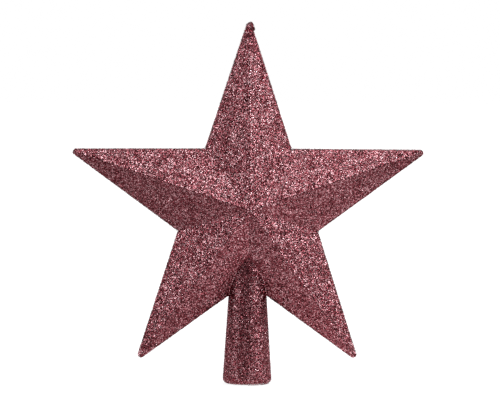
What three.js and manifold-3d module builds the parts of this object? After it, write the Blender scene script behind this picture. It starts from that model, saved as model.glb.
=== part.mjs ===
// A star for the top of a tree: two moulded half shells, cemented together on the star's middle plane.
// Each half carries half of the tapered tube that the tree's leader shoot goes up.
// Millimetres, +Z up, front towards -Y, origin at the centre of the tube's mouth.

import * as THREE from "three";
import { mergeVertices } from "three/addons/utils/BufferGeometryUtils.js";
import Module from "manifold-3d";

const wasm = await Module();
wasm.setup();

// Star outline, in the seam plane
const ARM_COUNT = 5;
const TIP_RADIUS = 99.6; // centre of the star to where an arm's two edges would meet
const CORNER_RADIUS = 38.4; // centre of the star to the corner between two arms
const TIP_ROUND = 1.5;
const CORNER_ROUND = 0.8;

// Star body
const CENTRE_HEIGHT = 91.6; // mouth of the tube to the centre of the star
const HALF_DEPTH = 22; // seam plane to the peak where the ridges meet
const HALF_EDGE = 1.2; // seam plane to where the facets start
const STAR_WALL = 1.5;

// Socket tube
const MOUTH_RADIUS = 12.6; // outside, as if the draft ran on to the mouth with no round
const TUBE_DRAFT_DEG = 3.6; // the tube narrows upwards
const TUBE_WALL = 1.5;
const LIP_ROUND = 2.3; // outside round of the mouth
const LIP_LAND = 1.0; // width of the flat ring that the mouth ends in
const LIP_HEIGHT = 0.8; // straight part of the mouth's inside

// Seam: a tongue on the front half sits in a rebate in the rear half
const TONGUE_INSET = 0.8; // outline to the tongue
const TONGUE_THICKNESS = 0.6;
const TONGUE_HEIGHT = 1.0;
const TONGUE_ROOT = 0.3; // how far the tongue reaches back into its own half
const TONGUE_START = 6; // the tongue stops this far above the mouth
const SEAM_CLEARANCE = 0.12; // room for the cement

// Smoothness
const TUBE_SEGMENTS = 72;
const ROUND_STEPS = 5;

const MATERIAL = new THREE.MeshStandardMaterial({ color: 0x8a5058, roughness: 0.45, metalness: 0.35 });

// Angles and shares that follow from the sizes above
const armTurn = (2 * Math.PI) / ARM_COUNT;
const tubeSlope = Math.tan(THREE.MathUtils.degToRad(TUBE_DRAFT_DEG));
const edgeReach = edgeDistance(); // centre of the star to the line of an edge
const facetTilt = Math.atan2(HALF_DEPTH - HALF_EDGE, edgeReach);

function polar(reach, angle) {
  return new THREE.Vector2(reach * Math.sin(angle), reach * Math.cos(angle));
}

// Distance from the star's centre to the straight line from a tip to the next corner.
function edgeDistance() {
  const tip = polar(TIP_RADIUS, 0);
  const corner = polar(CORNER_RADIUS, armTurn / 2);
  return Math.abs(tip.cross(corner)) / tip.distanceTo(corner);
}

// Points that round the corner at `at`, on the way from `before` to `after`.
function roundCorner(before, at, after, radius) {
  const back = before.clone().sub(at).normalize();
  const on = after.clone().sub(at).normalize();
  const halfAngle = Math.acos(THREE.MathUtils.clamp(back.dot(on), -1, 1)) / 2;
  if (radius <= 0) return [at.clone()];
  const centre = at.clone().addScaledVector(back.clone().add(on).normalize(), radius / Math.sin(halfAngle));
  const tangent = radius / Math.tan(halfAngle);
  const first = at.clone().addScaledVector(back, tangent).sub(centre);
  const last = at.clone().addScaledVector(on, tangent).sub(centre);
  const start = first.angle();
  let sweep = last.angle() - start;
  if (sweep > Math.PI) sweep -= 2 * Math.PI;
  if (sweep < -Math.PI) sweep += 2 * Math.PI;
  return Array.from({ length: ROUND_STEPS + 1 }, (_, i) => {
    const angle = start + (sweep * i) / ROUND_STEPS;
    return new THREE.Vector2(Math.cos(angle), Math.sin(angle)).multiplyScalar(radius).add(centre);
  });
}

// The star's outline moved inwards by `inset`: x to the right and z up as the front is seen, counterclockwise.
function starOutline(inset) {
  const share = (edgeReach - inset) / edgeReach;
  const sharp = [];
  for (let i = 0; i < ARM_COUNT; i++) {
    sharp.push(polar(TIP_RADIUS * share, -i * armTurn));
    sharp.push(polar(CORNER_RADIUS * share, -(i + 0.5) * armTurn));
  }
  const rounded = sharp.flatMap((point, i) => {
    const before = sharp[(i + sharp.length - 1) % sharp.length];
    const after = sharp[(i + 1) % sharp.length];
    const radius = i % 2 === 0 ? Math.max(TIP_ROUND - inset, 0) : CORNER_ROUND + inset;
    return roundCorner(before, point, after, radius);
  });
  return rounded.map((point) => point.add(new THREE.Vector2(0, CENTRE_HEIGHT)));
}

// Outside radius of the tube at a height above its mouth.
function tubeRadius(height) {
  return MOUTH_RADIUS - height * tubeSlope;
}

// The tube's own outline in the seam plane, moved inwards by `inset`, from a height up to the star's centre.
function tubeOutline(inset, from) {
  const low = tubeRadius(from) - inset;
  const high = tubeRadius(CENTRE_HEIGHT) - inset;
  return [
    new THREE.Vector2(-low, from),
    new THREE.Vector2(low, from),
    new THREE.Vector2(high, CENTRE_HEIGHT),
    new THREE.Vector2(-high, CENTRE_HEIGHT),
  ];
}

// A closed geometry as a solid that can be joined and cut.
function solidOf(geometry) {
  const bare = geometry.clone();
  bare.deleteAttribute("normal");
  bare.deleteAttribute("uv");
  const merged = mergeVertices(bare);
  const vertProperties = merged.attributes.position.array;
  const triVerts = new Uint32Array(merged.index.array);
  return new wasm.Manifold(new wasm.Mesh({ numProp: 3, vertProperties, triVerts }));
}

function geometryOf(solid) {
  const { vertProperties, triVerts } = solid.getMesh();
  const geometry = new THREE.BufferGeometry();
  geometry.setAttribute("position", new THREE.BufferAttribute(vertProperties, 3));
  geometry.setIndex(new THREE.BufferAttribute(triVerts, 1));
  geometry.computeVertexNormals();
  return geometry;
}

// Facets from an outline to a peak in front and one behind, with a straight band round the outline.
function facetedStar(outline, halfBand, halfDepth) {
  const band = Math.max(halfBand, 0);
  const levels = band > 0 ? [-band, band] : [0];
  const vertices = levels.flatMap((y) => outline.flatMap((p) => [p.x, y, p.y]));
  vertices.push(0, -halfDepth, CENTRE_HEIGHT, 0, halfDepth, CENTRE_HEIGHT);
  const count = outline.length;
  const rear = (levels.length - 1) * count;
  const frontPeak = levels.length * count;
  const rearPeak = frontPeak + 1;
  const faces = [];
  for (let i = 0; i < count; i++) {
    const next = (i + 1) % count;
    faces.push(frontPeak, i, next, rearPeak, rear + next, rear + i);
    if (band > 0) faces.push(i, rear + i, rear + next, i, rear + next, next);
  }
  const geometry = new THREE.BufferGeometry();
  geometry.setAttribute("position", new THREE.Float32BufferAttribute(vertices, 3));
  geometry.setIndex(faces);
  return solidOf(geometry);
}

// A profile of radius and height, turned about the tube's axis.
function turned(profile) {
  const lathe = new THREE.LatheGeometry(profile, TUBE_SEGMENTS);
  return solidOf(lathe.rotateX(Math.PI / 2));
}

// An outline in the seam plane, as thick as from one depth to another.
function slab(outline, fromY, toY) {
  const plate = new THREE.ExtrudeGeometry(new THREE.Shape(outline), {
    depth: toY - fromY,
    bevelEnabled: false,
  });
  return solidOf(plate.rotateX(Math.PI / 2).translate(0, toY, 0));
}

// Radius where the outside round of the mouth meets the flat ring.
function ringRadius() {
  const corner = new THREE.Vector2(MOUTH_RADIUS, 0);
  const up = new THREE.Vector2(tubeRadius(1), 1);
  return roundCorner(new THREE.Vector2(0, 0), corner, up, LIP_ROUND)[0].x;
}

function tubeOutside() {
  const corner = new THREE.Vector2(MOUTH_RADIUS, 0);
  const top = new THREE.Vector2(tubeRadius(CENTRE_HEIGHT), CENTRE_HEIGHT);
  return turned([
    new THREE.Vector2(0, 0),
    ...roundCorner(new THREE.Vector2(0, 0), corner, top, LIP_ROUND),
    top,
    new THREE.Vector2(0, CENTRE_HEIGHT),
  ]);
}

// The room inside the tube. The mouth turns in, and widens above the lip to the tube's even wall.
function tubeInside() {
  const mouth = ringRadius() - LIP_LAND;
  const widenTop = LIP_HEIGHT + tubeRadius(0) - TUBE_WALL - mouth;
  return turned([
    new THREE.Vector2(0, -LIP_HEIGHT),
    new THREE.Vector2(mouth, -LIP_HEIGHT),
    new THREE.Vector2(mouth, LIP_HEIGHT),
    new THREE.Vector2(tubeRadius(widenTop) - TUBE_WALL, widenTop),
    new THREE.Vector2(tubeRadius(CENTRE_HEIGHT) - TUBE_WALL, CENTRE_HEIGHT),
    new THREE.Vector2(0, CENTRE_HEIGHT),
  ]);
}

// The room inside the star: every facet moved in by the wall, and an upright wall behind the edge band.
function starInside() {
  const slantInset = STAR_WALL / Math.sin(facetTilt) - HALF_EDGE / Math.tan(facetTilt);
  const halfBand = HALF_EDGE - (STAR_WALL * (1 - Math.sin(facetTilt))) / Math.cos(facetTilt);
  const outline = starOutline(Math.max(STAR_WALL, slantInset));
  return facetedStar(outline, halfBand, HALF_DEPTH - STAR_WALL / Math.cos(facetTilt));
}

// Everything inside the seam line moved in by `inset`, from one depth to another.
function insideSeam(inset, tubeFrom, fromY, toY) {
  const star = slab(starOutline(inset), fromY, toY);
  return star.add(slab(tubeOutline(inset, tubeFrom), fromY, toY));
}

function tongue() {
  const outer = insideSeam(TONGUE_INSET, TONGUE_START, -TONGUE_ROOT, TONGUE_HEIGHT);
  const inner = insideSeam(TONGUE_INSET + TONGUE_THICKNESS, 0, -HALF_DEPTH, HALF_DEPTH);
  return outer.subtract(inner);
}

function rebate() {
  const inset = TONGUE_INSET - SEAM_CLEARANCE;
  return insideSeam(inset, TONGUE_START - SEAM_CLEARANCE, -TONGUE_ROOT, TONGUE_HEIGHT + SEAM_CLEARANCE);
}

// All the space on one side of the seam plane: side is -1 for the front and 1 for the rear.
function halfSpace(side) {
  const reach = 2 * (TIP_RADIUS + CENTRE_HEIGHT);
  const block = new THREE.BoxGeometry(2 * reach, reach, 2 * reach);
  return solidOf(block.translate(0, (side * reach) / 2, 0));
}

const outside = facetedStar(starOutline(0), HALF_EDGE, HALF_DEPTH).add(tubeOutside());
const hollow = outside.subtract(starInside()).subtract(tubeInside());
const halves = {
  front_shell: hollow.intersect(halfSpace(-1)).add(tongue()),
  rear_shell: hollow.intersect(halfSpace(1)).subtract(rebate()),
};

const topper = new THREE.Group();
for (const [name, solid] of Object.entries(halves)) {
  const mesh = new THREE.Mesh(geometryOf(solid), MATERIAL);
  mesh.name = name;
  topper.add(mesh);
}

export default topper;
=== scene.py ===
import math

import bmesh
import bpy
import numpy as np
from mathutils import Matrix, Vector


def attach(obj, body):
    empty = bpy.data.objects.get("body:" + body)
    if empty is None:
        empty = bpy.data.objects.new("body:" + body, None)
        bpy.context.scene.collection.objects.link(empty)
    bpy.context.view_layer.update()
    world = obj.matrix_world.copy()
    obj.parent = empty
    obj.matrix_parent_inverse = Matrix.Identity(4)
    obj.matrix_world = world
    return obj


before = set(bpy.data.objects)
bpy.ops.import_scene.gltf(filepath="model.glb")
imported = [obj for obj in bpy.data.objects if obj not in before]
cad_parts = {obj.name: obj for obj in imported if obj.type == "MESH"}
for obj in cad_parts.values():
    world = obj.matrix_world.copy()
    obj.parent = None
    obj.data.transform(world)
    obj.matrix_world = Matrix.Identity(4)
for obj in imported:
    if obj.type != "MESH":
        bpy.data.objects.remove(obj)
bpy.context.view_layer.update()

MM = 0.001
WHITE = (1, 1, 1, 1)

# Sizes of the CAD model, in millimetres
ARM_COUNT = 5
TIP_RADIUS = 99.6
CORNER_RADIUS = 38.4
TIP_ROUND = 1.5
CENTRE_HEIGHT = 91.6
HALF_DEPTH = 22.0
HALF_EDGE = 1.2
MOUTH_RADIUS = 12.6
TUBE_SLOPE = math.tan(math.radians(3.6))
LIP_ROUND = 2.3
LIP_LAND = 1.0
LIP_HEIGHT = 0.8
ROUND_STEPS = 12

# Glitter, in millimetres
PITCH = 0.40  # from one flake to the next
ROW_SHARE = math.sqrt(0.75)  # from one row to the next, as a share of the pitch
SEAM_PITCH_SHARE = 1.4  # the same on the adhesive where the tube goes in
JITTER = 0.2  # of the pitch
FLAKE_RADIUS = 0.253  # centre of a flake to its corners
FLAKE_SIZES = (0.85, 1.12)
FLAKE_TURNS = np.arange(6) * math.pi / 3  # the angles of a flake's corners
COAT_LOW, COAT_HIGH = 0.12, 0.3  # moulding to the middle of a flake
FLAT_TILT, LOOSE_TILT = 0.13, 0.5  # spread of a flake's slope
LOOSE_SHARE = 0.34
MOST_TILT = 0.9
SPARE_COLUMNS = 80  # past each end of a facet's edge, because its peak can lean past the edge
SIDE_MARGIN, FOOT_MARGIN = 0.1, 0.2  # from a facet's slanted sides and its lower edge to its flakes
BAND_ROWS = (0.3, 0.1), (0.9, 0.55)  # distance from the seam plane, and slope away from it
TUBE_MARGIN = 0.1  # flakes of the star go on this far into the tube
BURIED = 0.25  # flakes of the tube go on this far into the star
UV_RADIUS = 0.42  # of a flake's cell in the UV map
UPRIGHT = 0.9  # with more Z than this, a flake's sideways direction is found from X instead

# Adhesive that gathered before it set, in millimetres
FILLET = 0.9  # where the tube goes into the star
FILLET_ROWS = 5
DROPS = (  # on the tip of the top arm: centre and half sizes
    (np.array([0.5, 0.0, 185.85]), np.array([2.15, 2.1, 3.35])),
    (np.array([2.2, -0.2, 185.4]), np.array([0.8, 0.8, 0.9])),
)
DROP_SKIN = 0.97  # of a drop's size: nothing is made further in
RIM_SAG, RIM_HEIGHT = 0.25, 0.4  # the coat under the rim hangs lower on one side of the front
NOTCH_ROUND = 1.8  # the coat in the corners between the arms

# The line where the tube's outside meets the star
SEAM_POINTS = 150
SEAM_END = 0.02  # angle left out at each end
SEAM_LOWEST = 40.0  # the search for its height starts here
HALVINGS = 30
SLOPE_STEP = 0.01

# Where the adhesive is thicker, and where shade is painted with darker and fewer flakes: shares of the
# thickest, and places in millimetres.
# A level above 1 is cut off to 1, so it makes the full strength reach further before it fades.
SEAM_LEVEL = 1.2  # where the tube goes into the star: thicker adhesive and painted shade in the corner
SEAM_START, SEAM_RISE = 56.0, 8.0  # height above the mouth
ARCH_GLUE_AND_SHADE = (0.2, 2.2, 1.6, (-0.4, 63.6), (4.8, 3.2))  # a spot on the tube, just under the star: thicker adhesive and painted shade where the tube's top goes in
SHADE_STREAK = (0.3, 2.0, 1.0, (-1.1, 57.0), (1.4, 4.5))  # a narrow one below that: a stripe of painted shade on the tube
LOW_GLUE, LOW_TOP = 0.05, 40.0  # the tube's lower part
EDGE_SHADE, EDGE_LEVEL, EDGE_FADE = 0.8, 1.4, 0.37  # the star's edge: painted shade, a dark outline with fewer flakes
WIDE_FADE, WIDE_START = 0.55, CENTRE_HEIGHT + 31  # the painted shade reaches further in on the right of the top arm
EDGE_START = 20  # nothing lower belongs to the edge
EDGE_FROM_TUBE = 1.0  # nor anything nearer to the tube
NECK_GLUE_AND_SHADE, NECK_LEVEL, NECK_HEIGHT = 1.3, 1.6, 182.2  # just under the drop: thicker adhesive and painted shade
TIP_COAT, TIP_FADE = 171.0, 6.0  # from here up to the drop the adhesive gets thicker
TIP_GLUE_LEFT, TIP_GLUE_RIGHT = 0.5, 0.6
DROP_FOOT = 184  # what lies on the arm ends here
DROP_GLUE, DROP_START = 0.9, 184.5
GLUE_HIDES, GLUE_AND_SHADE_DULLS = 0.25, 0.45  # share of flakes hidden at a full level, and of the others' tone taken away by adhesive and painted shade

# Where the flakes are paler, and by how much: painted light beside the tube, painted highlights on the
# top arm's ridge and on the drop, and paler flakes towards the tip
RIDGE_HIGHLIGHT, RIDGE_WIDTH = 0.11, 1.3  # a painted highlight right of the top arm's ridge
RIDGE_START, RIDGE_END = CENTRE_HEIGHT + 6, 180
BESIDE_LIGHT, BESIDE_WIDTH = 0.34, 0.5  # painted light on the tube beside the star, lifting the shade in the corner
BESIDE_TOP, BESIDE_FADE = 62, 5
TIP_TONE_LEFT, TIP_TONE_RIGHT = 0.12, 0.08
DROP_HIGHLIGHT = (0.6, 1.5, 1.0, (0.2, 187.0), (0.9, 1.2))  # a painted highlight on the front of the drop

ARM_TURN = 2 * math.pi / ARM_COUNT
rng = np.random.default_rng(20)


def polar(reach, angle):
    return np.array([reach * math.sin(angle), reach * math.cos(angle)])


TIP_HALF_ANGLE = math.atan2(
    CORNER_RADIUS * math.sin(ARM_TURN / 2),
    TIP_RADIUS - CORNER_RADIUS * math.cos(ARM_TURN / 2),
)
EDGE_REACH = TIP_RADIUS * math.sin(TIP_HALF_ANGLE)
TIP_CENTRE = TIP_RADIUS - TIP_ROUND / math.sin(TIP_HALF_ANGLE)


def unit(v):
    return v / np.maximum(np.linalg.norm(v, axis=-1, keepdims=True), 1e-12)


def join(*parts):
    return tuple(np.concatenate(pair) for pair in zip(*parts))


def part_of(spots, keep):
    return tuple(part[keep] for part in spots)


def arm_angle(x, z):
    """The angle of each point from the axis of the arm that it is in."""
    turn = np.arctan2(x, z - CENTRE_HEIGHT)
    return turn - np.round(turn / ARM_TURN) * ARM_TURN


def star_depth(x, z):
    """Seam plane to the star's facets, negative outside the star's outline."""
    reach = np.hypot(x, z - CENTRE_HEIGHT)
    share = reach * np.cos(math.pi / 2 - TIP_HALF_ANGLE - np.abs(arm_angle(x, z))) / EDGE_REACH
    depth = HALF_DEPTH - (HALF_DEPTH - HALF_EDGE) * share
    return np.where(share <= 1, depth, -1.0)


def tube_radius(z):
    return MOUTH_RADIUS - TUBE_SLOPE * z


def in_round_tip(x, z):
    """False for what the rounding of the arms' tips takes away."""
    off = arm_angle(x, z)
    reach = np.hypot(x, z - CENTRE_HEIGHT)
    outward = reach * np.cos(off) - TIP_CENTRE
    sideways = np.abs(reach * np.sin(off))
    beyond = outward > sideways * math.tan(TIP_HALF_ANGLE)
    return ~beyond | (np.hypot(outward, sideways) < TIP_ROUND)


def round_corner(before, at, after, radius):
    """Points that round the corner at `at`."""
    back, on = unit(before - at), unit(after - at)
    half = math.acos(np.clip(back @ on, -1, 1)) / 2
    centre = at + unit(back + on) * radius / math.sin(half)
    tangent = radius / math.tan(half)
    first, last = at + back * tangent - centre, at + on * tangent - centre
    start = math.atan2(first[1], first[0])
    sweep = (math.atan2(last[1], last[0]) - start + math.pi) % (2 * math.pi) - math.pi
    angles = start + sweep * np.linspace(0, 1, ROUND_STEPS + 1)
    return centre + radius * np.stack([np.cos(angles), np.sin(angles)], axis=1)


def star_outline():
    """The star's outline in the seam plane, as x and z, clockwise from the front."""
    sharp = []
    for i in range(ARM_COUNT):
        sharp.append(polar(TIP_RADIUS, i * ARM_TURN))
        sharp.append(polar(CORNER_RADIUS, (i + 0.5) * ARM_TURN))
    count = len(sharp)
    rounded = [
        round_corner(sharp[i - 1], sharp[i], sharp[(i + 1) % count], (TIP_ROUND, NOTCH_ROUND)[i % 2])
        for i in range(count)
    ]
    return np.concatenate(rounded) + [0, CENTRE_HEIGHT]


def along(line, spacing, closed):
    """Points at an even spacing along a line, with the line's direction at each."""
    if closed:
        line = np.vstack([line, line[:1]])
    steps = np.diff(line, axis=0)
    lengths = np.linalg.norm(steps, axis=1)
    ends = np.concatenate([[0], np.cumsum(lengths)])
    count = max(int(round(ends[-1] / spacing)), 1)
    at = (np.arange(count) + 0.5) * ends[-1] / count
    piece = np.clip(np.searchsorted(ends, at, side="right") - 1, 0, len(steps) - 1)
    share = (at - ends[piece]) / lengths[piece]
    return line[piece] + steps[piece] * share[:, None], unit(steps[piece])


def jitter(count):
    return rng.uniform(-JITTER, JITTER, count) * PITCH


def one_facet(tip, corner, apex):
    """Flake places on one facet: points, and the way out of it, to the same side as its peak."""
    rise = apex - corner
    on = unit(tip - corner)
    up = unit(rise - (rise @ on) * on)
    way = np.cross(on, up)
    way *= np.sign(way[1]) * np.sign(apex[1])
    length, height = np.linalg.norm(tip - corner), rise @ up
    lean = (rise @ on) / height
    rows = np.arange(0, int(height / (PITCH * ROW_SHARE)) + 2)
    columns = np.arange(-SPARE_COLUMNS, int(length / PITCH) + SPARE_COLUMNS)
    row, column = np.meshgrid(rows, columns, indexing="ij")
    a = (column + 0.5 * (row % 2) + rng.random()) * PITCH
    b = (row + rng.random()) * PITCH * ROW_SHARE
    a, b = a.ravel(), b.ravel()
    left = lean * b
    right = length + ((lean * height - length) / height) * b
    keep = (a > left + SIDE_MARGIN) & (a < right - SIDE_MARGIN) & (b > FOOT_MARGIN) & (b < height)
    a, b = a[keep], b[keep]
    a = a + jitter(len(a))
    b = b + jitter(len(b))
    return corner + a[:, None] * on + b[:, None] * up, np.tile(way, (len(a), 1))


def facet_spots(side):
    """Flake places on the ten facets of one side."""
    spots = []
    apex = np.array([0, side * HALF_DEPTH, CENTRE_HEIGHT])
    for arm in range(ARM_COUNT):
        for hand in (-1, 1):
            tip_x, tip_z = polar(TIP_RADIUS, arm * ARM_TURN)
            corner_x, corner_z = polar(CORNER_RADIUS, (arm + hand / 2) * ARM_TURN)
            tip = np.array([tip_x, side * HALF_EDGE, CENTRE_HEIGHT + tip_z])
            corner = np.array([corner_x, side * HALF_EDGE, CENTRE_HEIGHT + corner_z])
            spots.append(one_facet(tip, corner, apex))
    return join(*spots)


def band_spots(side):
    """Flake places on one half of the narrow band round the star's edge."""
    spots = []
    for distance, slope in BAND_ROWS:
        place, on = along(star_outline(), PITCH, True)
        out = np.stack([-on[:, 1], on[:, 0]], axis=1)
        middle = place - [0, CENTRE_HEIGHT]
        out *= np.sign(np.sum(out * middle, axis=1, keepdims=True))
        y = side * (distance + jitter(len(place)))
        way = unit(np.stack([out[:, 0], np.full(len(place), side * slope), out[:, 1]], axis=1))
        spots.append((np.stack([place[:, 0], y, place[:, 1]], axis=1), way))
    return join(*spots)


def seam_height(c, s):
    """Height where the tube's outside goes into the star, for one angle round the tube."""
    low, high = SEAM_LOWEST, CENTRE_HEIGHT
    for _ in range(HALVINGS):
        z = (low + high) / 2
        deep = star_depth(tube_radius(z) * c, np.array(z)) > abs(tube_radius(z) * s)
        low, high = (low, z) if deep else (z, high)
    return z


def seam_line(side):
    """Where the tube's outside meets the star: points, and the ways out of the tube and of the star."""
    points, tube_ways, star_ways = [], [], []
    for angle in np.linspace(SEAM_END, math.pi - SEAM_END, SEAM_POINTS):
        c, s = math.cos(angle), side * math.sin(angle)
        z = seam_height(c, s)
        radius = tube_radius(z)
        points.append([radius * c, radius * s, z])
        tube_ways.append(unit(np.array([c, s, TUBE_SLOPE])))
        step = math.copysign(1, c) * SLOPE_STEP
        here = star_depth(radius * c + step, np.array(z))
        slope_x = (star_depth(radius * c + 2 * step, np.array(z)) - here) / step
        slope_z = (star_depth(radius * c + step, np.array(z + SLOPE_STEP)) - here) / SLOPE_STEP
        star_ways.append(unit(np.array([-slope_x, side, -slope_z])))
    return np.array(points), np.array(tube_ways), np.array(star_ways)


def fillet(side):
    """Rows of points, and ways out, across the adhesive between the tube and the star."""
    line, tube_way, star_way = seam_line(side)
    on = unit(np.gradient(line, axis=0))
    down = np.cross(tube_way, on)
    down *= np.sign(np.sum(down * star_way, axis=1, keepdims=True))
    over = np.cross(star_way, on)
    over *= np.sign(np.sum(over * tube_way, axis=1, keepdims=True))
    rows = []
    for t in np.linspace(0, 1, FILLET_ROWS):
        place = line + FILLET * ((1 - t) ** 2 * down + t ** 2 * over)
        rows.append((place, unit((1 - t) * tube_way + t * star_way)))
    return rows


def seam_spots(side):
    """Flake places on the adhesive between the tube and the star."""
    spots = []
    for place, way in fillet(side)[1:-1]:
        points, _ = along(place, PITCH * SEAM_PITCH_SHARE, False)
        nearest = np.argmin(np.linalg.norm(place[None] - points[:, None], axis=2), axis=1)
        spots.append((points, way[nearest]))
    return join(*spots)


def in_drop(points):
    inside = [np.linalg.norm((points - centre) / radii, axis=1) < DROP_SKIN for centre, radii in DROPS]
    return np.any(inside, axis=0)


def drop_spots():
    """Flake places on the adhesive that gathered at the tip of the top arm."""
    spots = []
    for centre, radii in DROPS:
        count = int(4 * math.pi * np.mean(radii) ** 2 / PITCH ** 2)
        turn = np.arange(count) * math.pi * (3 - math.sqrt(5))
        z = 1 - 2 * (np.arange(count) + 0.5) / count
        ring = np.sqrt(1 - z * z)
        ball = np.stack([ring * np.cos(turn), ring * np.sin(turn), z], axis=1)
        spots.append((centre + ball * radii, unit(ball / radii)))
    points, ways = join(*spots)
    outside = np.abs(points[:, 1]) > star_depth(points[:, 0], points[:, 2])
    return part_of((points, ways), outside & ~in_drop(points))


def tube_spots():
    """Flake places on the tube, from just inside its mouth up to the star."""
    corner = np.array([MOUTH_RADIUS, 0.0])
    top = np.array([tube_radius(CENTRE_HEIGHT), CENTRE_HEIGHT])
    bend = round_corner(np.array([0.0, 0.0]), corner, top, LIP_ROUND)
    mouth = bend[0, 0] - LIP_LAND
    profile = np.vstack([[mouth, LIP_HEIGHT], [mouth, 0.0], bend, top])
    spots = []
    for (radius, z), (dr, dz) in zip(*along(profile, PITCH * ROW_SHARE, False)):
        count = int(round(2 * math.pi * radius / PITCH))
        angle = (np.arange(count) + rng.random()) * 2 * math.pi / count
        angle = angle + jitter(count) / radius
        height = z + jitter(count) * abs(dz)
        spots.append((
            np.stack([radius * np.cos(angle), radius * np.sin(angle), height], axis=1),
            np.stack([dz * np.cos(angle), dz * np.sin(angle), np.full(count, -dr)], axis=1),
        ))
    points, ways = join(*spots)
    x, y, z = points.T
    z -= RIM_SAG * ((z < RIM_HEIGHT) & (x > 0) & (y < 0))
    return part_of((points, ways), ~(np.abs(y) < star_depth(x, z) - BURIED))


def star_spots(side):
    """Flake places on one side of the star."""
    points, ways = join(facet_spots(side), band_spots(side))
    x, y, z = points.T
    keep = in_round_tip(x, z) | (np.abs(y) < HALF_EDGE)
    keep &= (np.hypot(x, y) > tube_radius(z) - TUBE_MARGIN) | (z > CENTRE_HEIGHT)
    keep &= ~in_drop(points)
    return part_of((points, ways), keep)


def seam_share(points):
    """1 where the tube and the star meet, down to 0 a fillet's width away."""
    x, y, z = points.T
    gap_tube = np.abs(np.hypot(x, y) - tube_radius(z))
    gap_star = np.abs(star_depth(x, z) - np.abs(y))
    return np.clip(SEAM_LEVEL - np.maximum(gap_tube, gap_star) / FILLET, 0, 1) * (z < CENTRE_HEIGHT)


def spot(points, strength, level, fall, middle, size):
    """The strength in the middle of a spot in x and z, falling to 0 round it."""
    reach = np.hypot((points[:, 0] - middle[0]) / size[0], (points[:, 2] - middle[1]) / size[1])
    return strength * np.clip(level - fall * reach, 0, 1)


def tip_rise(z):
    """0 up to where the tip's thicker adhesive starts, then rising to 1."""
    return np.clip((z - TIP_COAT) / TIP_FADE, 0, 1)


def adhesive_and_shade(points):
    """How thick the adhesive lies and how deep the painted shade is: both over the tube's top and under
    the drop, painted shade on the edge, adhesive towards the top tip.
    """
    x, y, z = points.T
    # Painted shade near the seam, on the edge, under the drop and in the two spots on the tube; thicker
    # adhesive near the seam, under the drop, in the first spot, low on the tube, towards the tip and on
    # the drop.
    near = seam_share(points) * np.clip((z - SEAM_START) / SEAM_RISE, 0, 1)
    low = LOW_GLUE * (z < LOW_TOP)
    fade = np.where((x > 0) & (z > WIDE_START), WIDE_FADE, EDGE_FADE)
    edge = EDGE_SHADE * np.clip(EDGE_LEVEL - (np.abs(y) - HALF_EDGE) / fade, 0, 1)
    edge *= (np.hypot(x, y) > tube_radius(z) + EDGE_FROM_TUBE) & (z >= EDGE_START) & (z < DROP_FOOT)
    neck = NECK_GLUE_AND_SHADE * np.clip(NECK_LEVEL - np.abs(z - NECK_HEIGHT), 0, 1)
    tip = np.where(x > 0, TIP_GLUE_RIGHT, TIP_GLUE_LEFT) * tip_rise(z)
    drop = DROP_GLUE * (z > DROP_START)
    spots = [spot(points, *ARCH_GLUE_AND_SHADE), spot(points, *SHADE_STREAK)]
    return np.max([near, low, edge, neck, tip, drop, *spots], axis=0)


def paler_and_painted_light(points):
    """What is added to the flakes' tone: painted light beside the tube, a painted highlight by the top
    arm's ridge, paler flakes towards its tip, and a painted highlight on the front of the drop.
    """
    x, y, z = points.T
    # Painted highlights by the ridge and on the drop, and painted light beside the tube.
    ridge = (x > 0) & (x < RIDGE_WIDTH) & (z > RIDGE_START) & (z < RIDGE_END)
    on_tube = np.clip(1 - np.abs(np.hypot(x, y) - tube_radius(z)) / BESIDE_WIDTH, 0, 1)
    beside = seam_share(points) * on_tube * np.clip((BESIDE_TOP - z) / BESIDE_FADE, 0, 1)
    tip = np.where(x > 0, TIP_TONE_RIGHT, TIP_TONE_LEFT) * tip_rise(z) * (z < DROP_FOOT)
    return RIDGE_HIGHLIGHT * ridge + BESIDE_LIGHT * beside + tip + spot(points, *DROP_HIGHLIGHT) * (y < 0)


def new_object(name, data):
    made = bpy.data.objects.new(name, data)
    bpy.context.scene.collection.objects.link(made)
    return made


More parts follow.
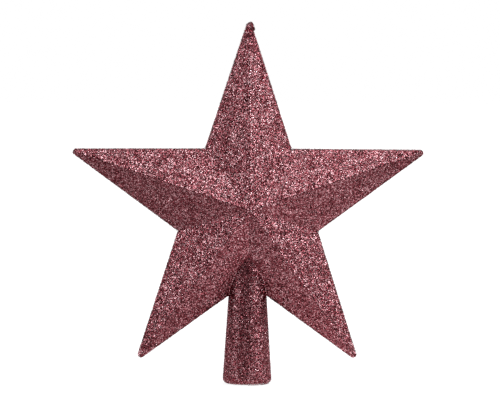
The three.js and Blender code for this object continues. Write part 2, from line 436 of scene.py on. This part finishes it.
def flakes(name, points, ways):
    """Small six-sided plates, one at each place, each turned and tilted its own way."""
    glue_and_shade = adhesive_and_shade(points)
    shown = rng.random(len(points)) > GLUE_HIDES * glue_and_shade
    points, ways, glue_and_shade = points[shown], ways[shown], glue_and_shade[shown]
    count, corner_count = len(points), len(FLAKE_TURNS)
    level = rng.uniform(COAT_LOW, COAT_HIGH, count)[:, None]
    other = np.where(np.abs(ways[:, 2:]) < UPRIGHT, [[0, 0, 1.0]], [[1.0, 0, 0]])
    across = unit(np.cross(other, ways))
    third = np.cross(ways, across)
    spread = np.where(rng.random((count, 1)) < LOOSE_SHARE, LOOSE_TILT, FLAT_TILT)
    lean = np.clip(rng.normal(0, spread, (count, 2)), -MOST_TILT, MOST_TILT)
    facing = unit(ways + lean[:, :1] * across + lean[:, 1:] * third)
    spin = rng.random(count) * 2 * math.pi
    size = rng.uniform(*FLAKE_SIZES, count) * FLAKE_RADIUS
    first = unit(np.cross(facing, across))
    second = np.cross(facing, first)
    angle = spin[:, None] + FLAKE_TURNS
    ring = np.cos(angle)[..., None] * first[:, None] + np.sin(angle)[..., None] * second[:, None]
    corners = (points + ways * level)[:, None] + ring * size[:, None, None]
    mesh = bpy.data.meshes.new(name)
    index = np.arange(count * corner_count).reshape(count, corner_count)
    mesh.from_pydata((corners.reshape(-1, 3) * MM).tolist(), [], index.tolist())
    tone = mesh.attributes.new("flake_tone", "FLOAT", "FACE")
    # Random tone, darker under adhesive and painted shade, paler under painted light and highlights and
    # towards the tip.
    tone.data.foreach_set("value", rng.random(count) * (1 - GLUE_AND_SHADE_DULLS * glue_and_shade) + paler_and_painted_light(points))
    side = math.ceil(math.sqrt(count))
    cell = np.stack([np.arange(count) % side, np.arange(count) // side], axis=1) + 0.5
    flat = np.stack([np.cos(FLAKE_TURNS), np.sin(FLAKE_TURNS)], axis=1)
    layer = mesh.uv_layers.new(name="OFBake")
    layer.data.foreach_set("uv", ((cell[:, None] + UV_RADIUS * flat) / side).ravel())
    mesh.update()
    return new_object(name, mesh)


def adhesive():
    """The set adhesive under the flakes: a fillet round the tube on each side, and the drop."""
    body = bmesh.new()
    for side in (-1, 1):
        rows = [[body.verts.new(p * MM) for p in place] for place, _ in fillet(side)]
        for lower, upper in zip(rows, rows[1:]):
            for i in range(len(lower) - 1):
                body.faces.new((lower[i], lower[i + 1], upper[i + 1], upper[i]))
    for centre, radii in DROPS:
        place = Matrix.Translation(Vector(centre * MM)) @ Matrix.Diagonal((*(radii * MM), 1))
        bmesh.ops.create_icosphere(body, subdivisions=4, radius=1, matrix=place)
    bmesh.ops.recalc_face_normals(body, faces=body.faces)
    mesh = bpy.data.meshes.new("adhesive")
    body.to_mesh(mesh)
    body.free()
    mesh.shade_smooth()
    return new_object("adhesive", mesh)


def fill(tree, node, inputs):
    """Each input named here gets a value, or a link from another node's output."""
    for name, value in inputs.items():
        if isinstance(value, bpy.types.NodeSocket):
            tree.links.new(value, node.inputs[name])
        else:
            node.inputs[name].default_value = value


def add_node(tree, kind, inputs):
    node = tree.nodes.new("ShaderNode" + kind)
    fill(tree, node, inputs)
    return node


def combine(tree, kind, operation, first, second):
    """A Math or VectorMath node."""
    node = add_node(tree, kind, {0: first, 1: second})
    node.operation = operation
    return node


def map_range(tree, value, low, high, start=0.0, end=1.0):
    """A node that carries a value between start and end over to between low and high."""
    inputs = {"Value": value, "From Min": start, "From Max": end, "To Min": low, "To Max": high}
    return add_node(tree, "MapRange", inputs)


def noise(tree, scale, detail=2.0):
    place = add_node(tree, "TexCoord", {}).outputs["Object"]
    return add_node(tree, "TexNoise", {"Vector": place, "Scale": scale, "Detail": detail}).outputs["Fac"]


def ramp(tree, value, stops):
    node = add_node(tree, "ValToRGB", {"Fac": value})
    elements = node.color_ramp.elements
    while len(elements) < len(stops):
        elements.new(0.5)  # its own position follows below
    for element, (position, colour) in zip(elements, stops):
        element.position = position
        element.color = (*colour, 1)
    return node.outputs["Color"]


def new_material(name):
    material = bpy.data.materials.new(name)
    material.use_nodes = True
    tree = material.node_tree
    return material, tree, tree.nodes["Principled BSDF"]


def glitter_material():
    """Rose metal under a thin gloss: each flake has its own tone, and slow patches run over them."""
    material, tree, shader = new_material("glitter_coat")
    attribute = add_node(tree, "Attribute", {})
    attribute.attribute_name = "flake_tone"
    tone = attribute.outputs["Fac"]
    patches = map_range(tree, noise(tree, scale=220), -0.08, 0.08, start=0.3, end=0.7).outputs["Result"]
    total = combine(tree, "Math", "ADD", tone, patches)
    total.use_clamp = True
    colours = (
        (0.0, (0.044, 0.000, 0.001)),
        (0.35, (0.108, 0.004, 0.011)),
        (0.75, (0.288, 0.080, 0.096)),
        (1.0, (0.70, 0.404, 0.430)),
    )
    fill(tree, shader, {
        "Base Color": ramp(tree, total.outputs[0], colours),
        "Roughness": map_range(tree, tone, 0.16, 0.34).outputs["Result"],
        "Metallic": 1.0,
        "Coat Weight": 0.35,
        "Coat Roughness": 0.1,
        "Specular Tint": (0.6, 0.3, 0.35, 1),
    })
    return material


def adhesive_material():
    """Dark wine red and glossy."""
    material, tree, shader = new_material("adhesive")
    uneven = noise(tree, scale=400)
    colours = (0.3, (0.06, 0.006, 0.010)), (0.7, (0.12, 0.014, 0.022))
    fill(tree, shader, {
        "Base Color": ramp(tree, uneven, colours),
        "Roughness": map_range(tree, uneven, 0.2, 0.4).outputs["Result"],
    })
    return material


def plastic_material():
    """The bare moulding, seen in the tube's bore and between the flakes."""
    material, tree, shader = new_material("moulded_plastic")
    fine = noise(tree, scale=1500)
    colours = (0.3, (0.10, 0.014, 0.021)), (0.7, (0.16, 0.026, 0.036))
    bump = add_node(tree, "Bump", {"Strength": 0.3, "Distance": 0.05 * MM, "Height": fine})
    fill(tree, shader, {
        "Base Color": ramp(tree, noise(tree, scale=60, detail=4), colours),
        "Roughness": map_range(tree, fine, 0.38, 0.55).outputs["Result"],
        "Normal": bump.outputs["Normal"],
    })
    return material


glitter = glitter_material()
plastic = plastic_material()
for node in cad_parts.values():
    node.data.materials.clear()
    node.data.materials.append(plastic)

front, rear = star_spots(-1), star_spots(1)
tube = join(tube_spots(), seam_spots(-1), seam_spots(1))
for name, spots in (
    ("star_glitter_front_left", part_of(front, front[0][:, 0] < 0)),
    ("star_glitter_front_right", part_of(front, front[0][:, 0] >= 0)),
    ("star_glitter_rear_left", part_of(rear, rear[0][:, 0] < 0)),
    ("star_glitter_rear_right", part_of(rear, rear[0][:, 0] >= 0)),
    ("tube_glitter", tube),
    ("top_drop_glitter", drop_spots()),
):
    piece = flakes(name, *spots)
    piece.data.materials.append(glitter)
    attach(piece, "root")

piece = adhesive()
piece.data.materials.append(adhesive_material())
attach(piece, "root")


# Camera: a long lens from 2 m, a little to the left and a little above
CAMERA_DISTANCE = 2.0
CAMERA_AZIMUTH = math.radians(-2.85)
CAMERA_ELEVATION = math.radians(2.85)
CAMERA_ROLL = math.radians(0.33)
PIXELS_PER_MM = 1.908
IMAGE_WIDTH, IMAGE_HEIGHT = 500, 400
STAR_CENTRE_PIXEL = (248.0, 208.3)
SENSOR_WIDTH = 36.0

# Lamps: name, way from the star's centre, distance, width and height in metres, and radiance
LAMP_COLOUR = (0.91, 1.03, 1.04)
LAMPS = (
    ("top_light", (0.17, -0.38, 0.92), 1.2, 0.6, 0.45, 6.2),
    ("right_light", (0.79, -0.53, 0.31), 1.0, 0.24, 0.36, 11.6),
    ("left_light", (-0.88, -0.40, 0.30), 1.2, 0.28, 0.42, 7.6),
    ("rear_light", (0.30, 0.42, 0.86), 1.3, 0.5, 0.4, 5.0),
    ("rear_right_light", (0.78, 0.55, 0.30), 1.0, 0.24, 0.36, 9.0),
    ("rear_left_light", (-0.84, 0.47, 0.28), 1.2, 0.28, 0.42, 7.0),
)

# Floor, in metres: how strongly it glows for each kind of ray, near a place on it and far from there
FLOOR_SIZE, FLOOR_HEIGHT = 6.0, -0.65 * MM
FLOOR_GREY = (0.25, 0.25, 0.25, 1)
FLOOR_PAINTED_BOUNCE = (1.0, 0.885, 0.91, 1)  # painted pink bounce light on the floor, as reflections see it
FLOOR_GLOWS = (
    (("Is Camera Ray",), (0, 0, 0), (0.1, 0.8), (0.84, 1.0)),
    # a painted pool of light that only reflections see, brightest near a place in front of the tube
    (("Is Glossy Ray", "Is Transmission Ray"), (0.050, -0.035, 0), (0.02, 0.15), (1.42, 0.52)),
)

# World: dim in front of the object and bright behind it, and brighter towards one way
ROOM_FADE, ROOM_STRENGTHS = (-0.92, 0.1), (0.06, 1.0)
BRIGHTER_WAY, WAY_STRENGTHS = (0.45, 0.0, 0.89), (0.45, 1.25)


def make_camera():
    centre = Vector((0, 0, CENTRE_HEIGHT * MM))
    a, e = CAMERA_AZIMUTH, CAMERA_ELEVATION
    back = Vector((math.sin(a) * math.cos(e), -math.cos(a) * math.cos(e), math.sin(e)))
    turn = (-back).to_track_quat("-Z", "Y").to_matrix() @ Matrix.Rotation(CAMERA_ROLL, 3, "Z")
    right, up = turn.col[0], turn.col[1]
    metres_per_pixel = MM / PIXELS_PER_MM
    aim = centre + right * (IMAGE_WIDTH / 2 - STAR_CENTRE_PIXEL[0]) * metres_per_pixel
    aim += up * (STAR_CENTRE_PIXEL[1] - IMAGE_HEIGHT / 2) * metres_per_pixel
    data = bpy.data.cameras.new("camera")
    data.sensor_width = SENSOR_WIDTH
    data.lens = SENSOR_WIDTH * PIXELS_PER_MM * CAMERA_DISTANCE / MM / IMAGE_WIDTH
    camera = new_object("camera", data)
    camera.matrix_world = Matrix.Translation(aim + back * CAMERA_DISTANCE) @ turn.to_4x4()
    bpy.context.scene.camera = camera


def softbox(name, way, distance, width, height, radiance):
    """A soft light that way from the star's centre, seen from there with this radiance."""
    data = bpy.data.lights.new(name, "AREA")
    data.shape = "RECTANGLE"
    data.size, data.size_y = width, height
    data.energy = radiance * math.pi * width * height
    data.color = LAMP_COLOUR
    light = new_object(name, data)
    way = Vector(way).normalized()
    light.location = Vector((0, 0, CENTRE_HEIGHT * MM)) + way * distance
    light.rotation_euler = (-way).to_track_quat("-Z", "Y").to_euler()


def floor_strength(tree, path):
    """How strongly the floor glows for the ray that meets it."""
    place = add_node(tree, "TexCoord", {}).outputs["Object"]
    total = 0.0
    for rays, centre, distances, strengths in FLOOR_GLOWS:
        reach = combine(tree, "VectorMath", "DISTANCE", place, centre).outputs["Value"]
        level = map_range(tree, reach, *strengths, *distances).outputs["Result"]
        for ray in rays:
            scaled = combine(tree, "Math", "MULTIPLY", path.outputs[ray], level).outputs[0]
            total = combine(tree, "Math", "ADD", total, scaled).outputs[0]
    return total


def make_floor():
    """White to the camera, with a faint shadow of the object; to reflections a painted pink glow,
    brightest near the object; clear from below.
    """
    mesh = bpy.data.meshes.new("floor")
    signs = (-1, -1), (1, -1), (1, 1), (-1, 1)
    corners = [(x * FLOOR_SIZE, y * FLOOR_SIZE, FLOOR_HEIGHT) for x, y in signs]
    mesh.from_pydata(corners, [], [(0, 1, 2, 3)])
    floor = new_object("floor", mesh)
    material = bpy.data.materials.new("floor")
    material.use_nodes = True
    tree = material.node_tree
    tree.nodes.clear()
    path = add_node(tree, "LightPath", {})
    # Reflections see the floor's glow in painted pink bounce light.
    inputs = {"Fac": path.outputs["Is Glossy Ray"], "Color1": WHITE, "Color2": FLOOR_PAINTED_BOUNCE}
    colour = add_node(tree, "MixRGB", inputs).outputs["Color"]
    glow = add_node(tree, "Emission", {"Strength": floor_strength(tree, path), "Color": colour})
    diffuse = add_node(tree, "BsdfDiffuse", {"Color": FLOOR_GREY})
    both = add_node(tree, "AddShader", {0: diffuse.outputs[0], 1: glow.outputs[0]})
    clear = add_node(tree, "BsdfTransparent", {})
    below = add_node(tree, "NewGeometry", {}).outputs["Backfacing"]
    mix = add_node(tree, "MixShader", {0: below, 1: both.outputs[0], 2: clear.outputs[0]})
    add_node(tree, "OutputMaterial", {"Surface": mix.outputs[0]})
    mesh.materials.append(material)


def make_world():
    world = bpy.data.worlds.new("world")
    bpy.context.scene.world = world
    world.use_nodes = True
    tree = world.node_tree
    way = add_node(tree, "TexCoord", {}).outputs["Generated"]
    depth = add_node(tree, "SeparateXYZ", {0: way}).outputs["Y"]
    room = map_range(tree, depth, *ROOM_STRENGTHS, *ROOM_FADE)
    room.interpolation_type = "SMOOTHSTEP"
    towards = combine(tree, "VectorMath", "DOT_PRODUCT", way, BRIGHTER_WAY).outputs["Value"]
    slope = map_range(tree, towards, *WAY_STRENGTHS, -1, 1)
    light = combine(tree, "Math", "MULTIPLY", room.outputs["Result"], slope.outputs["Result"])
    to_camera = add_node(tree, "LightPath", {}).outputs["Is Camera Ray"]
    seen = combine(tree, "Math", "MAXIMUM", to_camera, light.outputs[0]).outputs[0]
    fill(tree, tree.nodes["Background"], {"Strength": seen, "Color": WHITE})


make_camera()
for lamp in LAMPS:
    softbox(*lamp)
make_floor()
make_world()
bpy.context.scene.view_settings.view_transform = "Standard"
bpy.context.scene.cycles.use_denoising = False
